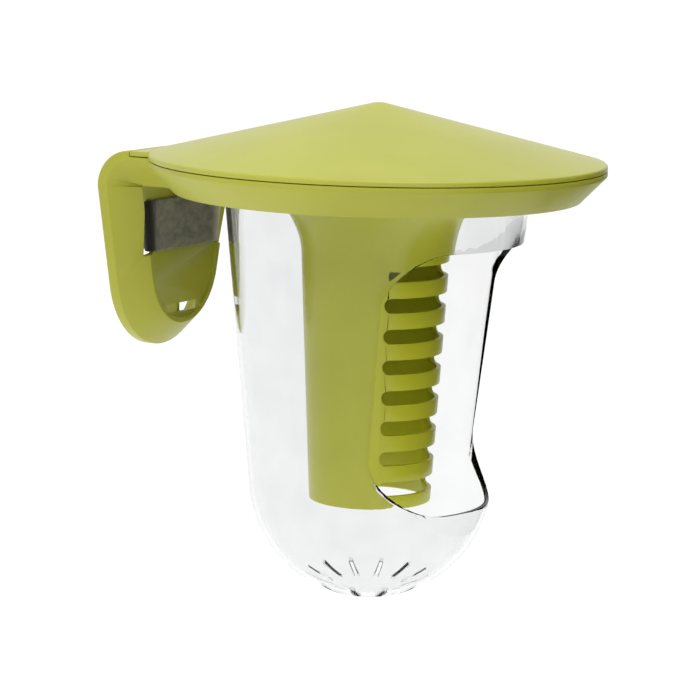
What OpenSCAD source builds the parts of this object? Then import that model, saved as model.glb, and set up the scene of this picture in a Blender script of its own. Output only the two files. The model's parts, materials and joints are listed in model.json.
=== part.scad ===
// Hanging insect trap: roof, carrier with strap bracket, clear cup and slotted bait tube.
// Frame: +Z up, the wall or post is the plane y = 0, and the trap hangs in front of it, at -Y.
// The origin is the centre of the flat foot that bears on the wall.

/* [Roof] */
// Radius of the roof at its rim
roof_r = 108; // [96:1:132]
// Height of the sharp cone above the rim plane, before its tip is rounded
roof_rise = 26.8; // [20:0.2:36]
// Radius of the rounded tip
roof_tip_r = 14; // [6:1:20]
// Thickness of the cone's wall
roof_wall = 2.2; // [1.6:0.1:3]
// Height of the upright edge of the roof
roof_edge_h = 2.4; // [1.8:0.1:3.2]
// Height of the ring under the roof that centres it in the carrier
locate_h = 4; // [3:0.5:7]

/* [Carrier] */
// Gap between the roof's rim and the wall plane
wall_gap = 15; // [12:1:30]
// Height of the straight band under the rim plane
band_h = 5; // [4.2:0.1:7]
// How far the sloping face under the band comes in
chamfer_in = 12; // [9:0.5:14]
// How far the sloping face under the band comes down
chamfer_down = 12.5; // [10:0.5:15]
// Wall of the carrier
shell_wall = 2.6; // [2:0.1:3.2]
// Shadow gap between the roof and the carrier
parting_gap = 0.4; // [0.3:0.05:0.8]

/* [Bracket] */
// Half width of the arm and of the bracket's top
arm_half_w = 52.5; // [44:0.5:63]
// Radius of the bracket's round bottom
bottom_r = 42; // [34:1:46]
// Depth of the centre of that round bottom, below the rim plane
bottom_drop = 57.5; // [54:0.5:72]
// Depth of the shallow recess in the bracket's front
recess = 1.2; // [0.6:0.1:1.6]
// Width of the lip left around the recess
recess_lip = 2.4; // [1.6:0.2:4]
// Radius of the foot that bears on the wall
foot_r = 7; // [5:0.5:9]
// How far the foot lies below the centre of the round bottom
foot_low = 6.5; // [0:0.5:8]
// Height of the low slot
low_slot_h = 4.4; // [3:0.2:6]
// Height of the low slot's centre above the lower edge of the front
low_slot_up = 7.2; // [6:0.1:9]
// Land between the ends of the low slot and the edge of the front
low_slot_land = 1.1; // [0.8:0.1:4]

/* [Strap] */
// Width of the hook-and-loop strap
strap_w = 25; // [20:1:27]
// Thickness of the strap
strap_t = 1.6; // [1.2:0.1:1.9]
// Height of the strap's middle, below the rim plane
strap_drop = 37.7; // [34:0.1:39]
// Land between the strap's run and the edge of the bracket's front, at the strap's lower edge
strap_inset = 5.1; // [4.5:0.1:8]
// Lean of the two strap slots from upright
slot_lean = 8; // [0:1:10]
// Width of each strap slot
slot_w = 7; // [6:0.1:7.2]

/* [Cup] */
// Outer radius of the cup's neck, inside the carrier
neck_r = 71.8; // [64:0.2:76]
// Radius of the cup's round bottom
dome_r = 58; // [50:0.5:64]
// Depth of the centre of the round bottom, below the rim plane
dome_drop = 152.3; // [145:0.1:190]
// Wall of the cup
cup_wall = 2.2; // [1.6:0.1:3]
// Depth of the window's top edge, below the rim plane
window_top = 37.5; // [30:0.5:44]
// Depth of the window's bottom edge, below the rim plane
window_foot = 162; // [140:1:170]
// Half width of the window near its top
window_top_half = 59.5; // [48:0.5:62]
// Half width of the window near its bottom
window_foot_half = 51.5; // [44:0.5:54]
// Radius of the window's upper corners
window_top_corner = 23; // [12:1:28]
// Radius of the window's lower corners
window_foot_corner = 30; // [12:1:34]
// Number of drain slots
drain_count = 12; // [6:2:16]
// Inner radius of the ring of drain slots
drain_in = 18; // [12:1:22]
// Outer radius of the ring of drain slots
drain_out = 30; // [26:1:34]
// Width of a drain slot
drain_w = 2; // [1.4:0.1:2.6]

/* [Bait tube] */
// Outer radius at the tube's foot
tube_foot_r = 29; // [24:0.5:31]
// Outer radius where the flare starts
tube_waist_r = 35; // [31:0.5:38]
// Depth of the tube's foot, below the rim plane
tube_drop = 163; // [158:1:176]
// Depth where the flare starts, below the rim plane
flare_drop = 48; // [40:0.5:49]
// Radius of the flare's curve
flare_r = 38; // [30:1:44]
// Radius of the tube's head
head_r = 50.5; // [46:0.5:54]
// Wall of the tube
tube_wall = 2.2; // [1.6:0.1:3]
// Number of feeding slots
slot_count = 8; // [4:1:9]
// Height of a slot
tube_slot_h = 6.9; // [4.6:0.1:8]
// Distance from one slot to the next
tube_slot_pitch = 14.6; // [12:0.1:15]
// Depth of the lowest slot's middle, below the rim plane
low_tube_slot_drop = 153.2; // [148:0.1:154]
// Angle from the front to each end of a slot
tube_slot_angle = 54; // [30:1:75]

/* [Twist locks] */
// Angle that the cup and the tube turn between locked and free
turn_angle = 25; // [18:1:32]
// Angle that one lug covers
lug_angle = 12; // [8:1:16]
// Height of a lug
lug_h = 3; // [2.4:0.1:4]
// How far a lug stands out
lug_out = 3.2; // [2.4:0.1:3.6]
// Running gap around necks
lock_gap = 0.5; // [0.35:0.05:0.8]
// Gap above and below a lug in its window
lug_gap = 0.35; // [0.25:0.05:0.5]

/* [Lure] */
// Outer radius of the lure cage
cage_r = 13; // [10:0.5:16]
// Height of the cage
cage_h = 40; // [30:1:46]
// Wall of the cage
cage_wall = 1.6; // [1.2:0.1:2.2]
// Radius of the rubber lure
septum_r = 5; // [3.5:0.5:7]
// Height of the rubber lure
septum_h = 19; // [12:1:24]

/* [Hidden] */
$fn = 96;
depth = band_h + chamfer_down;
seat = roof_edge_h + parting_gap;
axis_out = roof_r + wall_gap;
rim_up = bottom_drop + foot_low;
// Tangent point of the bracket's straight side and its round bottom
side_a = acos(bottom_r / norm([arm_half_w, bottom_drop - depth]))
    - atan((bottom_drop - depth) / arm_half_w);
side_end = [bottom_r * cos(side_a), bottom_drop + bottom_r * sin(side_a)];
// Low slot, inside the round bottom of the front
front_r = bottom_r - chamfer_in;
low_slot_drop = bottom_drop + front_r - low_slot_up;
low_slot_half = sqrt(front_r ^ 2 - (front_r - low_slot_up + low_slot_h / 2) ^ 2) - low_slot_land;
// Half length of the strap's run, from the width of the front at the strap's lower edge
strap_lean = strap_w / 2 * tan(slot_lean);
strap_low = strap_drop + strap_w / 2;
strap_low_half = arm_half_w - (arm_half_w - side_end[0]) * (strap_low - depth) / (side_end[1] - depth);
strap_half = strap_low_half - chamfer_in - strap_inset + strap_lean;
chamfer_len = norm([chamfer_in, chamfer_down]);
// How an even wall shifts the two corners of the sloping face
k_band = (chamfer_len - chamfer_down) / chamfer_in;
k_foot = (chamfer_len - chamfer_in) / chamfer_down;
socket_r = neck_r + lock_gap;
// Heights in the carrier's socket
socket_top = seat + 2.4;
neck_top = seat + 4;
cup_lug_drop = seat + 8.4;
neck_foot = depth + 3;
// Side play of a lug in its window and in its narrower entry notch, in degrees
window_play = 0.8;
notch_play = 0.5;
// Collar under the roof that holds the tube's head
collar_r = head_r + lock_gap;
collar_wall = 2.8;
collar_foot = 13;
head_top = 3;
tube_lug_drop = 8.4;
// Flat width under the roof's edge, and extra thickness under its tip
rim_flat = 4;
tip_extra = 2;
// Width over which the tongue runs into the roof
tongue_lap = 2;
plate_back = depth - recess - shell_wall;
bridge_mid = depth - recess - shell_wall / 2;
// Strap: gap to the plate, gap between folded layers, and the strip of hooks
strap_gap = 0.2;
layer_gap = 0.4;
patch_t = 1.2;
patch_gap = 0.15;
patch_margin = 2;
// Half width of the folded part, and the step from one layer to the next
fold_half = strap_half - 8.5;
joggle = 4;
lap = 0.5;
tail_short = 3;
turn_lap = 0.3;
turn_w = strap_w - 0.4;
layer_pitch = strap_t + layer_gap;
first_layer = plate_back - strap_gap - strap_t;
second_layer = first_layer - patch_t - 2 * patch_gap - strap_t;
layer = [first_layer, second_layer, second_layer - layer_pitch, second_layer - 2 * layer_pitch];
// Lure: boss under the roof, the cage's grip on it, and the cap
boss_r = 6;
boss_end = 8;
grip_h = 8;
grip_depth = 6;
grip_gap = 0.05;
cage_top = boss_end + grip_depth;
cage_roof = 2;
vent_count = 8;
vent_w = 4;
vent_margin = 6;
cap_t = 2;
cap_rim = 0.8;
cap_gap = 0.15;
plug_h = 5;
seat_gap = 0.2;
cone_tan = roof_rise / roof_r;
cone_a = atan(cone_tan);
green = [0.66, 0.68, 0.20];
eps = 0.01;
slab = 0.3;

// Half width, or radius, at a depth d below the band's top and w inside an outer one of hw
function hollow_half(hw, d, w = shell_wall) =
    hw - w - max(0, d - band_h + k_band * w) * chamfer_in / chamfer_down;

// Height of the roof's underside at radius r, above the rim plane
function roof_under(r) =
    let (top = roof_rise - roof_wall / cos(cone_a) - tip_extra)
    top - r * (top + roof_edge_h) / (roof_r - rim_flat);
locate_r = hollow_half(roof_r, roof_edge_h + locate_h) - parting_gap;
tip_z = roof_rise - roof_tip_r / cos(cone_a);

module at_axis() translate([0, -axis_out, rim_up]) children();

// Turns a drawing of the wall plane (X across, Y up) so that its depth runs out from the wall
module on_wall() translate([0, 0, rim_up]) rotate([90, 0, 0]) children();

// Part of a ring, centred on the front, from angle -half to +half
module front_arc(r_in, r_out, low, high, half)
    rotate([0, 0, -90 - half])
        rotate_extrude(angle = 2 * half)
            translate([r_in, low]) square([r_out - r_in, high - low]);

// Outer face of the bracket: a round bottom, and straight sides that meet it at a tangent
module bracket_face(inset, top = depth) {
    half = arm_half_w - inset;
    r = bottom_r - inset;
    rise = bottom_drop - top;
    start = acos(r / norm([half, rise])) - atan(rise / half);
    polygon(concat(
        [[half, -top], [-half, -top]],
        [for (i = [0:36]) let (a = 180 + start + (180 - 2 * start) * i / 36)
            [r * cos(a), -bottom_drop + r * sin(a)]]));
}

module bracket_solid() hull() {
    linear_extrude(band_h) bracket_face(0);
    translate([0, 0, depth - slab]) linear_extrude(slab)
        bracket_face(chamfer_in * (1 - slab / chamfer_down));
    translate([0, 0, depth - slab]) linear_extrude(slab) bracket_face(chamfer_in);
}

module bracket_hollow() hull() {
    translate([0, 0, -1]) linear_extrude(1 + band_h - k_band * shell_wall) bracket_face(shell_wall);
    translate([0, 0, plate_back - slab]) linear_extrude(slab)
        bracket_face(arm_half_w - hollow_half(arm_half_w, plate_back));
}

// Cross-section of the arm: top edge at -top, sloping sides down to the underside
module arm_section(top) polygon([
    [-arm_half_w, -top], [-arm_half_w, -band_h], [-(arm_half_w - chamfer_in), -depth],
    [arm_half_w - chamfer_in, -depth], [arm_half_w, -band_h], [arm_half_w, -top]]);

module arm_hollow_section(top) {
    foot = depth - shell_wall;
    polygon([
        [-hollow_half(arm_half_w, top), -top], [-hollow_half(arm_half_w, foot), -foot],
        [hollow_half(arm_half_w, foot), -foot], [hollow_half(arm_half_w, top), -top]]);
}

// Quarter turn between the bracket and the arm, about the inner corner line
module bend() translate([0, -depth, rim_up - depth]) rotate([0, 90, 0]) rotate([0, 0, 90])
    rotate_extrude(angle = 90) children();

module bend_section() polygon([
    [0, -(arm_half_w - chamfer_in)], [chamfer_down, -arm_half_w], [depth, -arm_half_w],
    [depth, arm_half_w], [chamfer_down, arm_half_w], [0, arm_half_w - chamfer_in]]);

module bend_hollow_section() {
    low = recess + shell_wall;
    high = depth - seat - shell_wall;
    polygon([
        [low, -hollow_half(arm_half_w, depth - low)], [high, -hollow_half(arm_half_w, depth - high)],
        [high, hollow_half(arm_half_w, depth - high)], [low, hollow_half(arm_half_w, depth - low)]]);
}

// The arm as a bar along Y that ends in the middle of the ring
module arm_bar() translate([0, -depth, rim_up]) rotate([90, 0, 0])
    linear_extrude(axis_out - depth) children();

// What the ring fills, out to its outer face
module ring_envelope(grow) at_axis() rotate_extrude() polygon([
    [0, 1], [roof_r - grow, 1], [roof_r - grow, -band_h],
    [roof_r - chamfer_in - grow, -depth], [roof_r - chamfer_in - grow, -depth - 1], [0, -depth - 1]]);

module ring_shell() at_axis() rotate_extrude() polygon([
    [roof_r, -seat], [roof_r, -band_h], [roof_r - chamfer_in, -depth], [socket_r, -depth],
    [socket_r, -socket_top], [socket_r + shell_wall, -socket_top],
    [socket_r + shell_wall, -depth + shell_wall],
    [roof_r - chamfer_in - k_foot * shell_wall, -depth + shell_wall],
    [roof_r - shell_wall, -band_h + k_band * shell_wall], [roof_r - shell_wall, -seat]]);

// Windows and entry notches for three lugs in a socket wall
module lock_windows(r_in, r_out, drop, foot) for (i = [0:2]) rotate([0, 0, 120 * i]) {
    reach = lug_h / 2 + lug_gap;
    rotate([0, 0, -turn_angle / 2])
        front_arc(r_in, r_out, -drop - reach, -drop + reach, (lug_angle + turn_angle) / 2 + window_play);
    rotate([0, 0, -turn_angle])
        front_arc(r_in, r_out, -foot - 1, -drop, lug_angle / 2 + notch_play);
}

// Three lugs on a neck of radius r
module lugs(r, drop) for (i = [0:2]) rotate([0, 0, 120 * i])
    front_arc(r - 1, r + lug_out, -drop - lug_h / 2, -drop + lug_h / 2, lug_angle / 2);

// Upright rib behind the low slot; its edges end inside the walls
module back_rib() translate([-shell_wall / 2, 0, rim_up - bottom_drop]) rotate([90, 0, 90])
    linear_extrude(shell_wall) {
        mid = shell_wall / 2;
        polygon([
            [0, 0], [0, -hollow_half(bottom_r, 0, mid)],
            [-band_h + k_band * mid, -hollow_half(bottom_r, 0, mid)],
            [-plate_back - mid, -hollow_half(bottom_r, plate_back + mid, mid)], [-plate_back - mid, 0]]);
    }

module strap_slot_cuts() for (s = [-1, 1])
    translate([s * strap_half, -strap_drop, depth - recess - shell_wall - 1])
        rotate([0, 0, -s * slot_lean])
            translate([s > 0 ? 0 : -slot_w, -strap_w / 2 - 1, 0]) cube([slot_w, strap_w + 2, 6]);

module carrier_shell() color(green) difference() {
    union() {
        ring_shell();
        difference() {
            union() {
                on_wall() bracket_solid();
                bend() bend_section();
                arm_bar() arm_section(seat);
            }
            ring_envelope(shell_wall / 2);
            on_wall() bracket_hollow();
            bend() bend_hollow_section();
            arm_bar() arm_hollow_section(seat + shell_wall);
        }
        back_rib();
        // the foot that bears on the wall
        rotate([90, 0, 0]) cylinder(r = foot_r, h = plate_back + 1);
    }
    // room for the roof, and for its tongue over the arm
    translate([0, 0, rim_up - seat]) {
        translate([0, -axis_out, 0]) cylinder(r = roof_r + parting_gap, h = seat + 5);
        translate([-arm_half_w - 1, -axis_out, 0])
            cube([2 * arm_half_w + 2, axis_out - depth, seat + 5]);
    }
    // shallow recess and the slots in the bracket's front
    on_wall() translate([0, 0, depth - recess]) linear_extrude(recess + 1)
        bracket_face(chamfer_in + recess_lip, depth + recess_lip / 2);
    on_wall() strap_slot_cuts();
    on_wall() translate([-low_slot_half, -low_slot_drop - low_slot_h / 2, plate_back - eps])
        cube([2 * low_slot_half, low_slot_h, depth]);
    at_axis() lock_windows(socket_r - 1, socket_r + shell_wall + 1, cup_lug_drop, depth);
}

module roof_lid() color([0.78, 0.78, 0.40]) union() {
    at_axis() {
        rotate_extrude() {
            // the tip is an arc that meets the slope at a tangent
            tip = [roof_tip_r * sin(cone_a), tip_z + roof_tip_r * cos(cone_a)];
            intersection() {
                translate([0, tip_z]) circle(r = roof_tip_r);
                translate([0, tip[1] - eps]) square([tip[0] + eps, roof_tip_r]);
            }
            polygon([[0, tip[1]], tip, [roof_r, 0], [roof_r, -roof_edge_h],
                     [roof_r - rim_flat, -roof_edge_h], [0, roof_under(0)]]);
            translate([locate_r - shell_wall, -roof_edge_h - locate_h])
                square([shell_wall, locate_h + 1.5]);
        }
        // collar with the windows for the bait tube's lugs
        difference() {
            rotate_extrude() translate([collar_r, -collar_foot])
                square([collar_wall, collar_foot + roof_under(collar_r) + 1]);
            lock_windows(collar_r - 1, collar_r + collar_wall + 1, tube_lug_drop, collar_foot);
        }
        translate([0, 0, boss_end]) cylinder(r = boss_r, h = roof_under(0) + 1 - boss_end);
    }
    // tongue over the arm, with the ring's place left to the cone
    difference() {
        translate([-arm_half_w, -axis_out + roof_r / 2, rim_up - roof_edge_h])
            cube([2 * arm_half_w, axis_out - roof_r / 2 - depth - parting_gap, roof_edge_h]);
        translate([0, -axis_out, rim_up - roof_edge_h - 1])
            cylinder(r = roof_r - tongue_lap, h = roof_edge_h + 2);
    }
}

// The tube's solid shape, drawn in by inset: a taper, then a flare that curves out to the head
module tube_profile(inset) {
    curve = flare_r + inset;
    head = head_r - inset;
    polygon([[0, -tube_drop - inset], [tube_foot_r - inset, -tube_drop - inset],
             [tube_waist_r - inset, -flare_drop], [0, -flare_drop]]);
    difference() {
        translate([0, -flare_drop - eps]) square([head, flare_drop - head_top + inset]);
        translate([tube_waist_r + flare_r, -flare_drop]) circle(r = curve);
    }
}

module bait_tube() color([0.70, 0.72, 0.22]) at_axis() difference() {
    union() {
        rotate_extrude() difference() {
            tube_profile(0);
            tube_profile(tube_wall);
        }
        lugs(head_r, tube_lug_drop);
    }
    for (i = [0:slot_count - 1])
        translate([0, 0, -low_tube_slot_drop + i * tube_slot_pitch]) tube_slot();
}

// One slot: an arc through the wall with round ends
module tube_slot() {
    end_a = tube_slot_angle - asin(tube_slot_h / 2 / tube_waist_r);
    front_arc(tube_foot_r / 2, tube_waist_r + 8, -tube_slot_h / 2, tube_slot_h / 2, end_a);
    for (s = [-1, 1]) rotate([0, 0, s * end_a]) rotate([90, 0, 0])
        translate([0, 0, tube_foot_r / 2]) cylinder(d = tube_slot_h, h = tube_waist_r);
}

// Angle below level at which the cup's taper leaves the round bottom
neck_rise = dome_drop - neck_foot;
taper_a = acos(dome_r / norm([neck_r, neck_rise])) - atan(neck_rise / neck_r);
module cup_profile(inset) {
    r = dome_r - inset;
    foot = [r * cos(taper_a), -dome_drop - r * sin(taper_a)];
    intersection() {
        translate([0, -dome_drop]) circle(r = r);
        translate([0, foot[1] + eps - r]) square([r, r]);
    }
    polygon([[0, foot[1]], foot, [neck_r - inset, -neck_foot + inset * tan(taper_a / 2)],
             [neck_r - inset, -neck_top + inset], [0, -neck_top + inset]]);
}

// Window outline seen from the front: a tapered rectangle, with an arc at each corner
module window_outline() {
    top = window_top_corner;
    foot = window_foot_corner;
    lean = atan((window_top_half - window_foot_half) / (window_foot - window_top - top - foot));
    // centre of each corner, its radius, and the angle at which its arc starts and how far it goes
    corners = [[window_top_half - top, -window_top - top, top, -lean, 90 + lean],
               [-window_top_half + top, -window_top - top, top, 90, 90 + lean],
               [-window_foot_half + foot, -window_foot + foot, foot, 180 + lean, 90 - lean],
               [window_foot_half - foot, -window_foot + foot, foot, 270, 90 - lean]];
    polygon([for (c = corners) for (i = [0:12]) let (a = c[3] + c[4] * i / 12)
        [c[0] + c[2] * cos(a), c[1] + c[2] * sin(a)]]);
}

module clear_cup() color([0.88, 0.90, 0.92, 0.35]) at_axis() difference() {
    union() {
        rotate_extrude() difference() {
            cup_profile(0);
            cup_profile(cup_wall);
        }
        lugs(neck_r, cup_lug_drop);
    }
    // window in the front
    translate([0, -dome_r / 4, 0]) rotate([90, 0, 0]) linear_extrude(neck_r) window_outline();
    // drain slots in the round bottom
    for (i = [0:drain_count - 1]) rotate([0, 0, (i + 0.5) * 360 / drain_count])
        translate([drain_in, -drain_w / 2, -dome_drop - dome_r - 1])
            cube([drain_out - drain_in, drain_w, dome_r / 2]);
}

// A flat stretch of the strap at depth d from the wall; an end with a lean follows its slot
module strap_run(left, left_lean, right, right_lean, d) translate([0, 0, d]) linear_extrude(strap_t)
    polygon([[left + left_lean, strap_w / 2], [left - left_lean, -strap_w / 2],
             [right - right_lean, -strap_w / 2], [right + right_lean, strap_w / 2]]);

// Points of a half turn about (x, y), from angle a by sweep
function half_turn(x, y, r, a, sweep) =
    [for (i = [0:12]) [x + r * cos(a + sweep * i / 12), y + r * sin(a + sweep * i / 12)]];

// The folded part seen from above: a step back from the first layer, then three layers
module strap_folds() {
    step_end = -fold_half + lap;
    step_start = step_end - joggle;
    outer_r = strap_t + layer_gap / 2;
    inner_r = layer_gap / 2;
    right_turn = layer[2] + outer_r;
    left_turn = layer[3] + outer_r;
    polygon(concat(
        [[step_start - lap, layer[0] + strap_t], [step_start, layer[0] + strap_t],
         [step_end, layer[1] + strap_t]],
        half_turn(fold_half, right_turn, outer_r, 90, -180),
        half_turn(-fold_half, left_turn, inner_r, 90, 180),
        [[fold_half - tail_short, layer[3] + strap_t], [fold_half - tail_short, layer[3]]],
        half_turn(-fold_half, left_turn, outer_r, 270, -180),
        half_turn(fold_half, right_turn, inner_r, 270, 180),
        [[step_end, layer[1]], [step_start, layer[0]], [step_start - lap, layer[0]]]));
}

// Half turn of the strap round the land beside a slot
module strap_turn(side) translate([side * strap_half, 0, bridge_mid]) rotate([0, 0, -side * slot_lean])
    rotate([-90, 0, 0]) translate([0, 0, -turn_w / 2]) linear_extrude(turn_w) difference() {
        r = shell_wall / 2 + strap_gap;
        inside = 2 * r + slot_w;
        circle(r = r + strap_t);
        circle(r = r);
        translate([side > 0 ? -inside - turn_lap : turn_lap, -slot_w]) square([inside, 2 * slot_w]);
    }

module strap_band() color([0.30, 0.29, 0.24]) on_wall() translate([0, -strap_drop, 0]) {
    strap_run(-strap_half, -strap_lean, strap_half, strap_lean, depth - recess + strap_gap);
    for (side = [-1, 1]) strap_turn(side);
    strap_run(-fold_half + joggle, 0, strap_half, strap_lean, layer[0]);
    strap_run(-strap_half, -strap_lean, -fold_half - joggle + lap, 0, layer[0]);
    translate([0, strap_w / 2, 0]) rotate([90, 0, 0]) linear_extrude(strap_w) strap_folds();
}

module strap_hook_patch() color([0.16, 0.16, 0.15]) on_wall()
    translate([-fold_half + joggle + patch_margin, -strap_drop - strap_w / 2 + patch_margin / 2,
               layer[1] + strap_t + patch_gap])
        cube([2 * fold_half - joggle - 2 * patch_margin, strap_w - patch_margin, patch_t]);

module lure_cage() color([0.90, 0.90, 0.86]) at_axis() translate([0, 0, cage_top]) difference() {
    union() {
        translate([0, 0, -cage_h]) cylinder(r = cage_r, h = cage_h - grip_h + 1);
        translate([0, 0, -grip_h]) cylinder(r = boss_r + cage_wall, h = grip_h);
    }
    translate([0, 0, -cage_h - 1]) cylinder(r = cage_r - cage_wall, h = cage_h + 2 - grip_h - cage_roof);
    translate([0, 0, -grip_depth]) cylinder(r = boss_r + grip_gap, h = grip_h);
    for (i = [0:vent_count - 1]) rotate([0, 0, i * 360 / vent_count])
        translate([0, -vent_w / 2, -cage_h + vent_margin])
            cube([cage_r + 1, vent_w, cage_h - 2 * vent_margin - grip_h + cage_roof]);
}

// Floor of the cage: a round plug with a rim
module lure_cap() color([0.90, 0.90, 0.86]) at_axis() translate([0, 0, cage_top - cage_h - seat_gap]) {
    translate([0, 0, -cap_t]) cylinder(r = cage_r + cap_rim, h = cap_t);
    difference() {
        cylinder(r = cage_r - cage_wall - cap_gap, h = plug_h);
        translate([0, 0, lap]) cylinder(r = cage_r - 2 * cage_wall, h = plug_h);
    }
}

// Rubber lure, stepped and hollow from the top
module lure_septum() color([0.74, 0.36, 0.28]) at_axis() translate([0, 0, cage_top - cage_h + lap])
    difference() {
        union() {
            cylinder(r = septum_r, h = septum_h * 0.55);
            cylinder(r = septum_r * 0.72, h = septum_h);
        }
        translate([0, 0, septum_h * 0.45]) cylinder(r = septum_r * 0.45, h = septum_h);
    }

carrier_shell();
roof_lid();
bait_tube();
clear_cup();
strap_band();
strap_hook_patch();
lure_cage();
lure_cap();
lure_septum();
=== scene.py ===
import bmesh
import bpy
import json
import math
import random
from mathutils import Matrix, Vector, noise


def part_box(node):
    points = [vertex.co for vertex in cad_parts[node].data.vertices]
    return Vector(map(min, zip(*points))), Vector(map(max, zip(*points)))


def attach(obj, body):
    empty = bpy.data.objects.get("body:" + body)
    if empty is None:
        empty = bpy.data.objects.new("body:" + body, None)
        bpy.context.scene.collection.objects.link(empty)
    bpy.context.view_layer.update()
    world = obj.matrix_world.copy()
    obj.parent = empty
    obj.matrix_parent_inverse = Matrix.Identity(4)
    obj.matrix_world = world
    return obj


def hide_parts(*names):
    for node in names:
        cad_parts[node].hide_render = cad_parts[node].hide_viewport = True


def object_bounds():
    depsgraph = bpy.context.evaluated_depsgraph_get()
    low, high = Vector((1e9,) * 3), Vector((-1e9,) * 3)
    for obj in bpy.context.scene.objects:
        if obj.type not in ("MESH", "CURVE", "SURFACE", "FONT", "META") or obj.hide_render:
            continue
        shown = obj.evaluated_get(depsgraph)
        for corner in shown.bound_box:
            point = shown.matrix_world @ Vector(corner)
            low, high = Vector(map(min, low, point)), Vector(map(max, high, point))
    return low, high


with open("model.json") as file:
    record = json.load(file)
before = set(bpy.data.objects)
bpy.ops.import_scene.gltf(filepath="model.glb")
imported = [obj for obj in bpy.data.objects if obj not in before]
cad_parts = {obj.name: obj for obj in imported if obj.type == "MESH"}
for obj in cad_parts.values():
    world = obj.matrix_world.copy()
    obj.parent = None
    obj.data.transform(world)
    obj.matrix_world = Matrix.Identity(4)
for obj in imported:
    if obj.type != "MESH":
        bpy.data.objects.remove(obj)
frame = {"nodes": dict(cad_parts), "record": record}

mm = 0.001
cadLow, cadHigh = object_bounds()
joints = {joint["name"]: joint for joint in frame["record"]["behaviour"]["joints"]}
axisX, axisY = joints["cup_turn"]["pos_m"][:2]
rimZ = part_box("carrier_shell")[1].z
trapAxis = Vector((axisX, axisY, rimZ))   # the trap's axis, where it meets the rim plane


def only(piece):
    bpy.ops.object.select_all(action="DESELECT")
    piece.select_set(True)
    bpy.context.view_layer.objects.active = piece


def chain(name, points):
    # a circle gives a closed chain of vertices, which then take the outline's places
    bpy.ops.mesh.primitive_circle_add(vertices=len(points), radius=10 * mm)
    piece = bpy.context.object
    piece.name = name
    for vertex, point in zip(piece.data.vertices, points):
        vertex.co = point
    return piece


def rounded(corners, steps=4):
    # corners are (across, up, radius); a radius of 0 stays sharp
    points = []
    for i, (across, up, radius) in enumerate(corners):
        here = Vector((across, up))
        if radius == 0:
            points.append(here)
            continue
        before = (Vector(corners[i - 1][:2]) - here).normalized()
        after = (Vector(corners[(i + 1) % len(corners)][:2]) - here).normalized()
        half = before.angle(after) / 2
        centre = here + (before + after).normalized() * radius / math.sin(half)
        start = here + before * radius / math.tan(half) - centre
        end = here + after * radius / math.tan(half) - centre
        for step in range(steps + 1):
            share = step / steps
            points.append(centre + (start * (1 - share) + end * share).normalized() * radius)
    return points


def arc(across, up, radius, fromAngle, toAngle, steps):
    # corners along an arc, ready for rounded()
    angles = [math.radians(fromAngle + (toAngle - fromAngle) * i / steps) for i in range(steps + 1)]
    return [(across + radius * math.cos(a), up + radius * math.sin(a), 0) for a in angles]


def turned(name, outline, steps=192):
    # outline is (radius, height above the rim plane) in millimetres
    piece = chain(name, [trapAxis + Vector((0, -max(r, 0), z)) * mm for r, z in outline])
    only(piece)
    bpy.ops.object.mode_set(mode="EDIT")
    bpy.ops.mesh.select_all(action="SELECT")
    bpy.ops.mesh.spin(steps=steps, angle=2 * math.pi, center=trapAxis, axis=(0, 0, 1))
    bpy.ops.mesh.select_all(action="SELECT")
    bpy.ops.mesh.remove_doubles(threshold=0.02 * mm)
    bpy.ops.mesh.dissolve_degenerate(threshold=0.001 * mm)
    bpy.ops.mesh.select_all(action="SELECT")
    bpy.ops.mesh.normals_make_consistent(inside=False)
    bpy.ops.object.mode_set(mode="OBJECT")
    return piece


def lofted(name, loops):
    # closed loops of points, bridged one to the next, with both ends filled
    parts = [chain(name, loop) for loop in loops]
    only(parts[0])
    for part in parts:
        part.select_set(True)
    bpy.ops.object.join()
    piece = bpy.context.object
    bpy.ops.object.mode_set(mode="EDIT")
    bpy.ops.mesh.select_all(action="SELECT")
    bpy.ops.mesh.bridge_edge_loops()
    bpy.ops.mesh.select_all(action="SELECT")
    bpy.ops.mesh.fill_holes(sides=0)
    bpy.ops.mesh.select_all(action="SELECT")
    bpy.ops.mesh.normals_make_consistent(inside=False)
    bpy.ops.object.mode_set(mode="OBJECT")
    return piece


def arcBlock(name, inner, outer, low, high, middle, half):
    # a block that follows the trap's round: millimetres, and degrees from the front
    bpy.ops.mesh.primitive_cube_add(size=2)
    piece = bpy.context.object
    piece.name = name
    bpy.ops.object.mode_set(mode="EDIT")
    bpy.ops.mesh.subdivide(number_cuts=9)
    bpy.ops.object.mode_set(mode="OBJECT")
    for vertex in piece.data.vertices:
        angle = math.radians(middle + vertex.co.x * half)
        radius = (inner + outer) / 2 + vertex.co.y * (outer - inner) / 2
        height = (low + high) / 2 + vertex.co.z * (high - low) / 2
        across, out = radius * math.sin(angle), -radius * math.cos(angle)
        vertex.co = trapAxis + Vector((across, out, height)) * mm
    only(piece)
    bpy.ops.object.mode_set(mode="EDIT")
    bpy.ops.mesh.select_all(action="SELECT")
    bpy.ops.mesh.normals_make_consistent(inside=False)
    bpy.ops.object.mode_set(mode="OBJECT")
    return piece


def block(name, low, high):
    # a plain block between two corners
    bpy.ops.mesh.primitive_cube_add(size=1)
    piece = bpy.context.object
    piece.name = name
    size = high - low
    for vertex in piece.data.vertices:
        vertex.co = low + Vector(((vertex.co.x + 0.5) * size.x, (vertex.co.y + 0.5) * size.y,
                                  (vertex.co.z + 0.5) * size.z))
    return piece


def joined(pieces):
    only(pieces[0])
    for piece in pieces:
        piece.select_set(True)
    bpy.ops.object.join()
    return bpy.context.object


def carve(piece, tool, way="DIFFERENCE"):
    modifier = piece.modifiers.new("carve", "BOOLEAN")
    modifier.object = tool
    modifier.operation = way
    modifier.solver = "EXACT"
    only(piece)
    bpy.ops.object.modifier_apply(modifier=modifier.name)
    bpy.data.objects.remove(tool)


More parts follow.
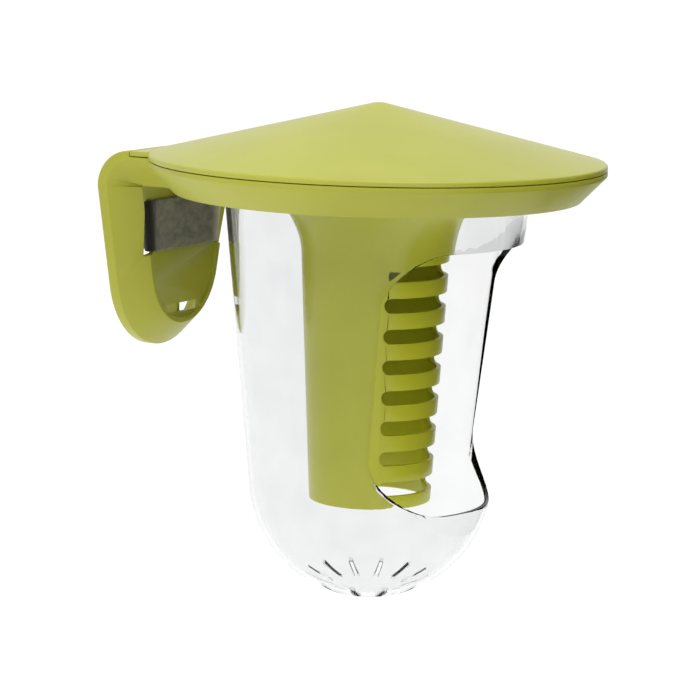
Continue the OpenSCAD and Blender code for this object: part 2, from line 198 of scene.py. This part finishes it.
def addLugs(piece, radius, sizes):
    # three lugs round a neck
    low = -sizes["lugDrop"] - sizes["lugHeight"] / 2
    for i in range(3):
        lug = arcBlock("lug", radius - 1, radius + sizes["lugOut"], low, low + sizes["lugHeight"],
                       -120 * i, sizes["lug"] / 2)
        carve(piece, lug, "UNION")


def softenEdges(piece, width, sharp=40, segments=2, merge=0.06):
    only(piece)
    bpy.ops.object.mode_set(mode="EDIT")
    bpy.ops.mesh.select_all(action="SELECT")
    bpy.ops.mesh.remove_doubles(threshold=merge * mm)
    bpy.ops.mesh.dissolve_degenerate(threshold=0.001 * mm)
    bpy.ops.object.mode_set(mode="OBJECT")
    modifier = piece.modifiers.new("soften", "BEVEL")
    modifier.width = width * mm
    modifier.segments = segments
    modifier.limit_method = "ANGLE"
    modifier.angle_limit = math.radians(sharp)
    modifier.use_clamp_overlap = False
    modifier.miter_outer = "MITER_ARC"
    bpy.ops.object.modifier_apply(modifier=modifier.name)
    bpy.ops.object.shade_smooth_by_angle(angle=math.radians(32))


def finish(piece, body, node, material):
    piece.data.materials.clear()
    piece.data.materials.append(material)
    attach(piece, body)
    if node:
        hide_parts(node)
    print("made", piece.name, len(piece.data.polygons), "faces")


def newMaterial(name):
    material = bpy.data.materials.new(name)
    material.use_nodes = True
    nodes = material.node_tree.nodes
    return material, nodes, material.node_tree.links, nodes["Principled BSDF"]


def noiseOn(nodes, links, scale, detail=4, roughness=0.55, stretch=(1, 1, 1)):
    place = nodes.new("ShaderNodeTexCoord")
    mapping = nodes.new("ShaderNodeMapping")
    mapping.inputs["Scale"].default_value = stretch
    texture = nodes.new("ShaderNodeTexNoise")
    texture.inputs["Scale"].default_value = scale
    texture.inputs["Detail"].default_value = detail
    texture.inputs["Roughness"].default_value = roughness
    links.new(place.outputs["Object"], mapping.inputs["Vector"])
    links.new(mapping.outputs["Vector"], texture.inputs["Vector"])
    return texture


def ramp(nodes, links, source, low, high, fromValue=0.35, toValue=0.65):
    ramped = nodes.new("ShaderNodeValToRGB")
    ramped.color_ramp.elements[0].position = fromValue
    ramped.color_ramp.elements[1].position = toValue
    ramped.color_ramp.elements[0].color = (*low, 1)
    ramped.color_ramp.elements[1].color = (*high, 1)
    links.new(source, ramped.inputs["Fac"])
    return ramped


def spread(nodes, links, source, low, high):
    ranged = nodes.new("ShaderNodeMapRange")
    ranged.inputs["From Min"].default_value = 0.3
    ranged.inputs["From Max"].default_value = 0.7
    ranged.inputs["To Min"].default_value = low
    ranged.inputs["To Max"].default_value = high
    links.new(source, ranged.inputs["Value"])
    return ranged


def bumped(nodes, links, shader, height, distance, strength=1.0):
    bump = nodes.new("ShaderNodeBump")
    bump.inputs["Strength"].default_value = strength
    bump.inputs["Distance"].default_value = distance * mm
    links.new(height, bump.inputs["Height"])
    links.new(bump.outputs["Normal"], shader.inputs["Normal"])
    return bump


def mouldedPlastic(look):
    # lime polypropylene: slow colour drift, fine spark-eroded grain, a thin sheen
    material, nodes, links, shader = newMaterial(look["name"])
    drift = noiseOn(nodes, links, look["driftScale"], detail=3)
    colour = ramp(nodes, links, drift.outputs["Fac"], look["low"], look["high"])
    links.new(colour.outputs["Color"], shader.inputs["Base Color"])
    grain = noiseOn(nodes, links, look["grainScale"], detail=6, roughness=0.7)
    rough = spread(nodes, links, grain.outputs["Fac"], look["roughness"] - 0.05, look["roughness"] + 0.07)
    links.new(rough.outputs["Result"], shader.inputs["Roughness"])
    bumped(nodes, links, shader, grain.outputs["Fac"], look["grainDepth"])
    shader.inputs["IOR"].default_value = 1.49
    shader.inputs["Specular IOR Level"].default_value = look["specular"]
    shader.inputs["Coat Weight"].default_value = look["coat"]
    shader.inputs["Coat Roughness"].default_value = 0.22
    shader.inputs["Subsurface Weight"].default_value = look["subsurface"]
    shader.inputs["Subsurface Radius"].default_value = (1.0, 0.9, 0.25)
    shader.inputs["Subsurface Scale"].default_value = 1.2 * mm
    return material


def clearPlastic(look):
    # polished clear moulding: very slight ripple and haze
    material, nodes, links, shader = newMaterial(look["name"])
    haze = noiseOn(nodes, links, 60, detail=3)
    rough = spread(nodes, links, haze.outputs["Fac"], look["roughness"], look["roughness"] + 0.02)
    links.new(rough.outputs["Result"], shader.inputs["Roughness"])
    tint = ramp(nodes, links, haze.outputs["Fac"], look["low"], look["high"])
    links.new(tint.outputs["Color"], shader.inputs["Base Color"])
    ripple = noiseOn(nodes, links, 22, detail=2, stretch=(1, 1, 0.4))
    bumped(nodes, links, shader, ripple.outputs["Fac"], 0.03)
    shader.inputs["IOR"].default_value = look["ior"]
    shader.inputs["Transmission Weight"].default_value = 1.0
    return material


def brushedFelt(look):
    # brushed loop fabric: matted fibres over a knitted ground, with a painted highlight at the backlit +X
    # end and painted shade where it enters the slot at the -X end
    material, nodes, links, shader = newMaterial(look["name"])
    matting = noiseOn(nodes, links, 210, detail=8, roughness=0.8, stretch=(0.6, 1, 1))
    colour = ramp(nodes, links, matting.outputs["Fac"], look["low"], look["high"], 0.36, 0.66)
    place = nodes.new("ShaderNodeTexCoord")
    parts = nodes.new("ShaderNodeSeparateXYZ")
    links.new(place.outputs["Object"], parts.inputs["Vector"])
    # painted highlight: the felt turns pale towards its +X end, where the backlit bend catches the light
    highlightShare = nodes.new("ShaderNodeMapRange")
    highlightShare.inputs["From Min"].default_value = look["highlightFrom"]
    highlightShare.inputs["From Max"].default_value = look["highlightTo"]
    links.new(parts.outputs["X"], highlightShare.inputs["Value"])
    mixed = nodes.new("ShaderNodeMixRGB")
    links.new(highlightShare.outputs["Result"], mixed.inputs["Fac"])
    links.new(colour.outputs["Color"], mixed.inputs["Color1"])
    mixed.inputs["Color2"].default_value = (*look["paintedHighlight"], 1)
    # painted shade: the felt turns near-black towards its -X end, where it enters the dark slot
    shadeShare = nodes.new("ShaderNodeMapRange")
    shadeShare.inputs["From Min"].default_value = look["shadeFrom"]
    shadeShare.inputs["From Max"].default_value = look["shadeTo"]
    links.new(parts.outputs["X"], shadeShare.inputs["Value"])
    paintedShade = nodes.new("ShaderNodeMixRGB")
    links.new(shadeShare.outputs["Result"], paintedShade.inputs["Fac"])
    links.new(mixed.outputs["Color"], paintedShade.inputs["Color1"])
    paintedShade.inputs["Color2"].default_value = (*look["paintedShade"], 1)
    links.new(paintedShade.outputs["Color"], shader.inputs["Base Color"])
    fibre = noiseOn(nodes, links, 1500, detail=8, roughness=0.8)
    bumped(nodes, links, shader, fibre.outputs["Fac"], 0.35)
    shader.inputs["Roughness"].default_value = 0.95
    shader.inputs["Specular IOR Level"].default_value = 0.2
    shader.inputs["Sheen Weight"].default_value = look["sheen"]
    shader.inputs["Sheen Roughness"].default_value = 0.5
    return material


limePlastic = {"name": "limeCarrier", "low": (0.39, 0.395, 0.026), "high": (0.43, 0.435, 0.034),
               "driftScale": 14, "grainScale": 1400, "grainDepth": 0.012, "roughness": 0.42,
               "specular": 0.45, "coat": 0.1, "subsurface": 0.1}
roofPlastic = dict(limePlastic, name="limeRoof", low=(0.42, 0.43, 0.035), high=(0.46, 0.47, 0.045),
                   roughness=0.36, coat=0.2)
# the tube's lime is the plastic's own lighter tone, with its saturation raised as painted light to make up
# for the grey veil of the clear cup in front of it
tubePlastic = dict(limePlastic, name="limeTube", low=(0.53, 0.54, 0.022), high=(0.57, 0.58, 0.030),
                   roughness=0.34, coat=0.15)
cupPlastic = {"name": "clearCup", "low": (0.885, 0.892, 0.895), "high": (0.915, 0.92, 0.92),
              "roughness": 0.01, "ior": 1.24}
strapFelt = {"name": "strapFelt", "low": (0.050, 0.046, 0.030), "high": (0.23, 0.215, 0.155),
             # the pale end colour is a painted highlight on the strap's backlit bend
             "paintedHighlight": (0.62, 0.60, 0.52), "highlightFrom": 0.023, "highlightTo": 0.031,
             # the near-black end colour is painted shade where the strap enters its slot
             "paintedShade": (0.010, 0.009, 0.006), "shadeFrom": -0.0275, "shadeTo": -0.0295, "sheen": 0.5}
carrierMaterial = mouldedPlastic(limePlastic)
roofMaterial = mouldedPlastic(roofPlastic)
tubeMaterial = mouldedPlastic(tubePlastic)
cupMaterial = clearPlastic(cupPlastic)
feltMaterial = brushedFelt(strapFelt)
print("materials ready")


# camera, light and floor; metres and degrees, except the two millimetres that place the aim
view = {"azimuth": -61.3, "elevation": 8.95, "roll": 1.4, "distance": 1.5, "lens": 162.3,
        "aside": -11.04, "down": 91.8}


def addCamera():
    turn, lift, roll = (math.radians(view[key]) for key in ("azimuth", "elevation", "roll"))
    right = Vector((math.cos(turn), math.sin(turn), 0))
    back = Vector((math.sin(turn) * math.cos(lift), -math.cos(turn) * math.cos(lift), math.sin(lift)))
    up = back.cross(right)
    across = right * math.cos(roll) + up * math.sin(roll)
    aim = trapAxis + right * view["aside"] * mm - Vector((0, 0, view["down"])) * mm
    bpy.ops.object.camera_add(location=aim + back * view["distance"])
    camera = bpy.context.object
    facing = Matrix((across, back.cross(across), back)).transposed()
    camera.rotation_euler = facing.to_euler()
    camera.data.lens = view["lens"]
    camera.data.sensor_width = 36
    camera.data.clip_end = 100
    bpy.context.scene.camera = camera


def addSoftbox(name, place, size, power):
    spot = trapAxis + Vector(place)
    bpy.ops.object.light_add(type="AREA", location=spot)
    light = bpy.context.object
    light.name = name
    light.data.shape = "DISK"
    light.data.size = size
    light.data.energy = power
    light.rotation_euler = (trapAxis - spot).to_track_quat("-Z", "Y").to_euler()


def addFloor():
    bpy.ops.mesh.primitive_plane_add(size=60, location=(0, 0, cadLow.z - 0.45))
    floor = bpy.context.object
    floor.name = "paleFloor"
    material, nodes, links, shader = newMaterial("paleFloor")
    shader.inputs["Base Color"].default_value = (0.9, 0.9, 0.9, 1)
    shader.inputs["Roughness"].default_value = 0.9
    shader.inputs["Emission Color"].default_value = (1, 1, 1, 1)
    shader.inputs["Emission Strength"].default_value = 0.25
    floor.data.materials.append(material)


def addCard(name, aside, depth, low, high):
    # a black card beside the trap, upright and facing it, that draws the clear edges and shades the bracket
    turn = math.radians(view["azimuth"])
    right = Vector((math.cos(turn), math.sin(turn), 0))
    bpy.ops.mesh.primitive_plane_add(size=1)
    card = bpy.context.object
    card.name = name
    middle = trapAxis + right * aside + Vector((0, 0, (low + high) / 2))
    towards = Matrix((right.cross(Vector((0, 0, 1))), Vector((0, 0, 1)), -right)).transposed().to_4x4()
    card.data.transform(Matrix.Translation(middle) @ towards @ Matrix.Diagonal((depth, high - low, 1, 1)))
    material, nodes, links, shader = newMaterial(name)
    shader.inputs["Base Color"].default_value = (0.06, 0.06, 0.055, 1)
    shader.inputs["Roughness"].default_value = 0.9
    card.data.materials.append(material)
    card.visible_camera = False
    card.visible_transmission = False


def addWorld():
    world = bpy.data.worlds.new("studio")
    bpy.context.scene.world = world
    world.use_nodes = True
    world.node_tree.nodes["Background"].inputs["Color"].default_value = (1, 1, 1, 1)
    world.node_tree.nodes["Background"].inputs["Strength"].default_value = 0.85


addCamera()
addWorld()
addFloor()
addSoftbox("overhead", (-0.3, -0.5, 1.6), 1.4, 14)
addCard("rightCard", 0.38, 1.1, -0.44, 0.25)
bpy.context.scene.view_settings.view_transform = "Standard"
print("stage ready")


# every piece's dictionary is in millimetres and degrees, with heights below the rim plane
roof = {"rise": 26.8, "tipRadius": 14, "wall": 2.2, "edge": 2.4, "flat": 4, "locate": 4, "locateGap": 5.35,
        "ringWall": 2.6, "collar": 51, "collarWall": 2.8, "collarFoot": 13, "boss": 6, "bossEnd": 8,
        "armHalf": 52.5, "wallReach": 17.9, "lugDrop": 8.4, "lugReach": 1.85, "turn": 25, "lug": 12}


def makeRoof():
    low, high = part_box("roof_lid")
    radius = (high.x - low.x) / 2 / mm
    slope = math.atan(roof["rise"] / radius)
    tipHeight = roof["rise"] - roof["tipRadius"] / math.cos(slope)
    underTop = roof["rise"] - roof["wall"] / math.cos(slope) - 2

    def under(r):
        return underTop - r * (underTop + roof["edge"]) / (radius - roof["flat"])

    locate = radius - roof["locateGap"]
    inLocate = locate - roof["ringWall"]
    outCollar = roof["collar"] + roof["collarWall"]
    outline = arc(0, tipHeight, roof["tipRadius"], 90, 90 - math.degrees(slope), 6)
    outline += [(radius, 0, 1.3), (radius, -roof["edge"], 0.4), (radius - roof["flat"], -roof["edge"], 0),
                (locate, under(locate), 0), (locate, -roof["edge"] - roof["locate"], 0.5),
                (inLocate, -roof["edge"] - roof["locate"], 0.5), (inLocate, under(inLocate), 0.6),
                (outCollar, under(outCollar), 0.8), (outCollar, -roof["collarFoot"], 0.6),
                (roof["collar"], -roof["collarFoot"], 0.6), (roof["collar"], under(roof["collar"]), 0.8),
                (roof["boss"], under(roof["boss"]), 0.8), (roof["boss"], roof["bossEnd"], 0.6),
                (0, roof["bossEnd"], 0)]
    piece = turned("roofCone", rounded(outline))
    reach = roof["lugReach"]
    for i in range(3):
        middle = -120 * i
        carve(piece, arcBlock("lockWindow", roof["collar"] - 1, outCollar + 1, -roof["lugDrop"] - reach,
                              -roof["lugDrop"] + reach, middle - roof["turn"] / 2,
                              (roof["lug"] + roof["turn"]) / 2 + 0.8))
        carve(piece, arcBlock("lockNotch", roof["collar"] - 1, outCollar + 1, -roof["collarFoot"] - 1,
                              -roof["lugDrop"], middle - roof["turn"], roof["lug"] / 2 + 0.5))
    tongueLow = Vector((-roof["armHalf"], axisY / mm + radius / 2, rimZ / mm - roof["edge"]))
    tongueHigh = Vector((roof["armHalf"], -roof["wallReach"], rimZ / mm))
    tongue = block("tongue", tongueLow * mm, tongueHigh * mm)
    bpy.ops.mesh.primitive_cylinder_add(vertices=128, radius=(radius - 2) * mm, depth=20 * mm,
                                        location=trapAxis)
    hole = bpy.context.object
    bpy.ops.object.transform_apply()
    carve(tongue, hole)
    softenEdges(tongue, 0.5)
    carve(piece, tongue, "UNION")
    softenEdges(piece, 0.25)
    finish(piece, "roof", "roof_lid", roofMaterial)


makeRoof()


tube = {"foot": 29, "waist": 35, "drop": 163, "flareDrop": 48, "flare": 38, "head": 50.5, "headTop": 3,
        "wall": 2.2, "slots": 8, "slotHeight": 6.9, "pitch": 14.6, "lowSlot": 153.2, "slotAngle": 54,
        "lugDrop": 8.4, "lugHeight": 3, "lugOut": 3.2, "lug": 12}


def slotCutter(height):
    # a slot with round ends that follows the wall, as a wedge that opens outwards
    half = tube["slotHeight"] / 2
    endAngle = math.radians(tube["slotAngle"]) - half / tube["waist"]
    loop = []
    for side in (1, -1):
        for i in range(13):
            swing = math.radians(-90 + 180 * i / 12)
            angle = side * (endAngle + half * math.cos(swing) / tube["waist"])
            loop.append((angle, side * half * math.sin(swing)))
        for i in range(1, 24):
            loop.append((side * endAngle * (1 - i / 12), side * half))
    loops = []
    for radius in (tube["foot"] / 2, 90):
        loops.append([trapAxis + Vector((radius * math.sin(a), -radius * math.cos(a), height + z)) * mm
                      for a, z in loop])
    return lofted("slotCutter", loops)


def makeTube():
    wall = tube["wall"]
    centre = tube["waist"] + tube["flare"]
    outEnd = math.degrees(math.acos((centre - tube["head"]) / tube["flare"]))
    inFlare = tube["flare"] + wall
    inEnd = math.degrees(math.acos((centre - tube["head"] + wall) / inFlare))
    outline = [(tube["foot"], -tube["drop"], 0.7)]
    outline += arc(centre, -tube["flareDrop"], tube["flare"], 180, 180 - outEnd, 16)
    outline += [(tube["head"], -tube["headTop"], 0.8), (tube["head"] - wall, -tube["headTop"], 0.8)]
    outline += arc(centre, -tube["flareDrop"], inFlare, 180 - inEnd, 180, 16)
    outline += [(tube["foot"] - wall, -tube["drop"], 0.7)]
    piece = turned("baitTube", rounded(outline))
    cutters = [slotCutter(-tube["lowSlot"] + i * tube["pitch"]) for i in range(tube["slots"])]
    carve(piece, joined(cutters))
    addLugs(piece, tube["head"], tube)
    softenEdges(piece, 0.2, merge=0.15)
    finish(piece, "tube", "bait_tube", tubeMaterial)


makeTube()


cup = {"neck": 71.8, "neckTop": 6.8, "neckFoot": 20.5, "dome": 58, "domeDrop": 152.3, "wall": 2.2,
       "windowTop": 37.5, "windowFoot": 162, "topHalf": 59.5, "footHalf": 51.5,
       "topCorner": 23, "footCorner": 30, "drains": 12, "drainIn": 18, "drainOut": 30,
       "drainWidth": 2, "lugDrop": 11.2, "lugHeight": 3, "lugOut": 3.2, "lug": 12}


def windowCutter():
    top, foot = cup["topCorner"], cup["footCorner"]
    corners = [(cup["topHalf"], -cup["windowTop"], top), (-cup["topHalf"], -cup["windowTop"], top),
               (-cup["footHalf"], -cup["windowFoot"], foot), (cup["footHalf"], -cup["windowFoot"], foot)]
    outline = rounded(corners, 14)
    return lofted("windowCutter", [[trapAxis + Vector((p.x, -out, p.y)) * mm for p in outline]
                                   for out in (cup["dome"] / 4, cup["neck"] + 15)])


def makeCup():
    rise = cup["domeDrop"] - cup["neckFoot"]
    taper = math.acos(cup["dome"] / math.hypot(cup["neck"], rise)) - math.atan(rise / cup["neck"])
    inner = cup["neck"] - cup["wall"]
    outline = arc(0, -cup["domeDrop"], cup["dome"], -90, -math.degrees(taper), 40)
    outline += [(cup["neck"], -cup["neckFoot"], 2), (cup["neck"], -cup["neckTop"], 0.9),
                (inner, -cup["neckTop"], 0.9),
                (inner, -cup["neckFoot"] + cup["wall"] * math.tan(taper / 2), 2)]
    outline += arc(0, -cup["domeDrop"], cup["dome"] - cup["wall"], -math.degrees(taper), -90, 40)
    piece = turned("clearCup", rounded(outline))
    carve(piece, windowCutter())
    drains = []
    for i in range(cup["drains"]):
        spin = Matrix.Rotation(math.radians((i + 0.5) * 360 / cup["drains"]), 4, "Z")
        low = Vector((cup["drainIn"], -cup["drainWidth"] / 2, -cup["domeDrop"] - cup["dome"]))
        high = Vector((cup["drainOut"], cup["drainWidth"] / 2, -cup["domeDrop"] - cup["dome"] / 2))
        drain = block("drain", low * mm, high * mm)
        drain.data.transform(Matrix.Translation(trapAxis) @ spin)
        drains.append(drain)
    carve(piece, joined(drains))
    addLugs(piece, cup["neck"], cup)
    softenEdges(piece, 0.4)
    finish(piece, "cup", "clear_cup", cupMaterial)


makeCup()


carrier = {"cornerWidth": 1.1, "edge": 0.3, "flattest": 0.5, "steepest": 1.2, "mergeAngle": 0.8}


def makeCarrier():
    # starts from the moulding's own faces, which are merged into whole faces before the edges are rounded
    source = frame["nodes"]["carrier_shell"]
    piece = bpy.data.objects.new("carrierShell", source.data.copy())
    bpy.context.scene.collection.objects.link(piece)
    only(piece)
    bpy.ops.object.mode_set(mode="EDIT")
    bpy.ops.mesh.select_all(action="SELECT")
    bpy.ops.mesh.remove_doubles(threshold=0.01 * mm)
    bpy.ops.mesh.dissolve_limited(angle_limit=math.radians(carrier["mergeAngle"]))
    bpy.ops.object.mode_set(mode="OBJECT")
    softenCorners(piece)
    softenEdges(piece, carrier["edge"])
    finish(piece, "carrier", "carrier_shell", carrierMaterial)


def softenCorners(piece):
    # the blunt outer corners, along the chamfer of ring, arm and bracket, are rounder than the rest
    mesh = bmesh.new()
    mesh.from_mesh(piece.data)
    corners = [edge for edge in mesh.edges if len(edge.link_faces) == 2
               and carrier["flattest"] < edge.calc_face_angle(0) < carrier["steepest"]
               and edge.calc_face_angle_signed(0) >= 0]
    bmesh.ops.bevel(mesh, geom=corners, offset=carrier["cornerWidth"] * mm, segments=3, profile=0.5,
                    affect="EDGES", clamp_overlap=True)
    mesh.to_mesh(piece.data)
    mesh.free()


makeCarrier()


strap = {"width": 25, "thick": 1.6, "drop": 37.7, "half": 29.5, "lean": 8, "front": 17.3, "turnMiddle": 15,
         "layers": (12.7, 9.6, 7.6, 5.6), "foldHalf": 21, "joggle": 4, "tail": 3, "across": 26,
         "fuzz": 0.16, "fibres": 2600, "fibreLength": (0.7, 1.9), "fibreWidth": 0.055}


def strapRoute():
    # centre line seen from above: (across, depth from the wall, share of the slots' lean)
    half, lean = strap["half"], math.radians(strap["lean"])
    fold, layers = strap["foldHalf"], strap["layers"]
    turnR = strap["front"] - strap["turnMiddle"]
    route = [(-fold + strap["joggle"], layers[0], 0), (0, layers[0], 0)]
    for i in range(13):
        a = math.radians(-90 + 180 * i / 12)
        route.append((half + turnR * math.cos(a), strap["turnMiddle"] + turnR * math.sin(a), 1))
    for i in range(13):
        a = math.radians(90 + 180 * i / 12)
        route.append((-half + turnR * math.cos(a), strap["turnMiddle"] + turnR * math.sin(a), -1))
    route += [(-fold - strap["joggle"], layers[0], 0), (-fold, layers[1], 0)]
    for side, upper, lower in ((1, layers[1], layers[2]), (-1, layers[2], layers[3])):
        for i in range(9):
            a = math.radians(90 - side * 180 * i / 8)
            bulge = abs(math.cos(a)) * (upper - lower) / 2
            swing = math.sin(math.radians(90 - 180 * i / 8)) * (upper - lower) / 2
            route.append((side * (fold + bulge), (upper + lower) / 2 + swing, 0))
    route.append((fold - strap["tail"], layers[3], 0))
    return route


def along(route, step):
    # even steps along the route
    points = [Vector(p) for p in route]
    places = [points[0]]
    for a, b in zip(points, points[1:]):
        count = max(1, round((b.xy - a.xy).length / step))
        places += [a.lerp(b, i / count) for i in range(1, count + 1)]
    return places


def makeStrap():
    places = along(strapRoute(), 0.9)
    rows = strap["across"]
    bpy.ops.mesh.primitive_grid_add(x_subdivisions=len(places) - 1, y_subdivisions=rows, size=1)
    piece = bpy.context.object
    piece.name = "strapBand"
    slope = math.tan(math.radians(strap["lean"]))
    last = len(places) - 1
    for vertex in piece.data.vertices:
        place = places[round((vertex.co.x + 0.5) * last)]
        up = vertex.co.y * strap["width"]
        vertex.co = Vector((place.x + place.z * slope * up, -place.y, rimZ / mm - strap["drop"] + up)) * mm
    only(piece)
    bpy.ops.object.mode_set(mode="EDIT")
    bpy.ops.mesh.select_all(action="SELECT")
    bpy.ops.mesh.normals_make_consistent(inside=False)
    bpy.ops.object.mode_set(mode="OBJECT")
    wall = piece.modifiers.new("thickness", "SOLIDIFY")
    wall.thickness = strap["thick"] * mm
    wall.offset = 0
    wall.use_even_offset = True
    bpy.ops.object.modifier_apply(modifier=wall.name)
    rim = piece.modifiers.new("rim", "BEVEL")
    rim.width = 0.45 * mm
    rim.segments = 2
    rim.limit_method = "ANGLE"
    rim.angle_limit = math.radians(60)
    bpy.ops.object.modifier_apply(modifier=rim.name)
    # matted surface
    spots = [(v.co.copy(), v.normal.copy()) for v in piece.data.vertices]
    for vertex, (co, normal) in zip(piece.data.vertices, spots):
        lift = noise.noise(co / (1.1 * mm)) + 0.6 * noise.noise(co / (0.5 * mm))
        vertex.co = co + normal * lift * strap["fuzz"] * mm * 0.6
    bpy.ops.object.shade_smooth_by_angle(angle=math.radians(60))
    fibres = makeFibres(piece)
    whole = joined([piece, fibres])
    finish(whole, "carrier", "strap_band", feltMaterial)


def makeFibres(piece):
    # loose brushed fibres: thin three-sided hairs that lean over the surface
    random.seed(7)
    faces = piece.data.polygons
    mesh = bmesh.new()
    chosen = [f for f in faces if f.center.y < -(strap["turnMiddle"] - 0.5) * mm]
    for _ in range(strap["fibres"]):
        face = random.choice(chosen)
        normal = face.normal
        side = Vector((random.gauss(0, 1), random.gauss(0, 1), random.gauss(0, 1)))
        side = (side - normal * side.dot(normal)).normalized()
        length = random.uniform(*strap["fibreLength"]) * mm
        lean = random.uniform(0.25, 0.95)
        base = face.center + side * random.uniform(-0.5, 0.5) * mm - normal * 0.1 * mm
        bend = base + (normal * (1 - lean) + side * lean) * length * 0.55
        tip = bend + (normal * (1 - lean) * 0.2 + side) * length * 0.45
        cross = normal.cross(side)
        wide = strap["fibreWidth"] * mm
        rings = []
        for centre, share in ((base, 1), (bend, 0.8)):
            around = [cross * math.cos(a) + normal * math.sin(a) for a in (0, 2.094, 4.189)]
            rings.append([mesh.verts.new(centre + way * wide * share) for way in around])
        end = mesh.verts.new(tip)
        for i in range(3):
            j = (i + 1) % 3
            mesh.faces.new((rings[0][i], rings[0][j], rings[1][j], rings[1][i]))
            mesh.faces.new((rings[1][i], rings[1][j], end))
        mesh.faces.new(reversed(rings[0]))
    bmesh.ops.recalc_face_normals(mesh, faces=mesh.faces)
    data = bpy.data.meshes.new("fibres")
    mesh.to_mesh(data)
    mesh.free()
    hairs = bpy.data.objects.new("fibres", data)
    bpy.context.scene.collection.objects.link(hairs)
    return hairs


makeStrap()


def hookTape(look):
    # woven tape with rows of hooks
    material, nodes, links, shader = newMaterial(look["name"])
    place = nodes.new("ShaderNodeTexCoord")
    cells = nodes.new("ShaderNodeTexVoronoi")
    cells.inputs["Scale"].default_value = 900
    cells.inputs["Randomness"].default_value = 0.15
    links.new(place.outputs["Object"], cells.inputs["Vector"])
    colour = ramp(nodes, links, cells.outputs["Distance"], look["high"], look["low"], 0.1, 0.6)
    links.new(colour.outputs["Color"], shader.inputs["Base Color"])
    bumped(nodes, links, shader, cells.outputs["Distance"], -0.3)
    shader.inputs["Roughness"].default_value = 0.6
    return material


def lureRubber(look):
    # matt rubber with a bloom of powder
    material, nodes, links, shader = newMaterial(look["name"])
    bloom = noiseOn(nodes, links, 400, detail=6, roughness=0.7)
    colour = ramp(nodes, links, bloom.outputs["Fac"], look["low"], look["high"])
    links.new(colour.outputs["Color"], shader.inputs["Base Color"])
    rough = spread(nodes, links, bloom.outputs["Fac"], 0.6, 0.85)
    links.new(rough.outputs["Result"], shader.inputs["Roughness"])
    bumped(nodes, links, shader, bloom.outputs["Fac"], 0.04)
    return material


hookMaterial = hookTape({"name": "hookTape", "low": (0.012, 0.012, 0.011), "high": (0.05, 0.05, 0.045)})
cagePlastic = dict(limePlastic, name="cageWhite", low=(0.74, 0.74, 0.69), high=(0.80, 0.80, 0.75),
                   grainDepth=0.008, subsurface=0.2)
cageMaterial = mouldedPlastic(cagePlastic)
rubberMaterial = lureRubber({"name": "lureRubber", "low": (0.30, 0.065, 0.035), "high": (0.42, 0.11, 0.06)})


def softCopy(node, name, body, width, material):
    # a small moulding keeps its own shape, with its edges rounded
    piece = bpy.data.objects.new(name, frame["nodes"][node].data.copy())
    bpy.context.scene.collection.objects.link(piece)
    only(piece)
    bpy.ops.object.mode_set(mode="EDIT")
    bpy.ops.mesh.select_all(action="SELECT")
    bpy.ops.mesh.remove_doubles(threshold=0.01 * mm)
    bpy.ops.mesh.dissolve_limited(angle_limit=math.radians(carrier["mergeAngle"]))
    bpy.ops.object.mode_set(mode="OBJECT")
    softenEdges(piece, width)
    finish(piece, body, node, material)


softCopy("strap_hook_patch", "strapHookPatch", "carrier", 0.2, hookMaterial)
softCopy("lure_cage", "lureCage", "roof", 0.2, cageMaterial)
softCopy("lure_cap", "lureCap", "lure_plug", 0.3, cageMaterial)
softCopy("lure_septum", "lureSeptum", "lure_plug", 0.5, rubberMaterial)


print("all pieces made")
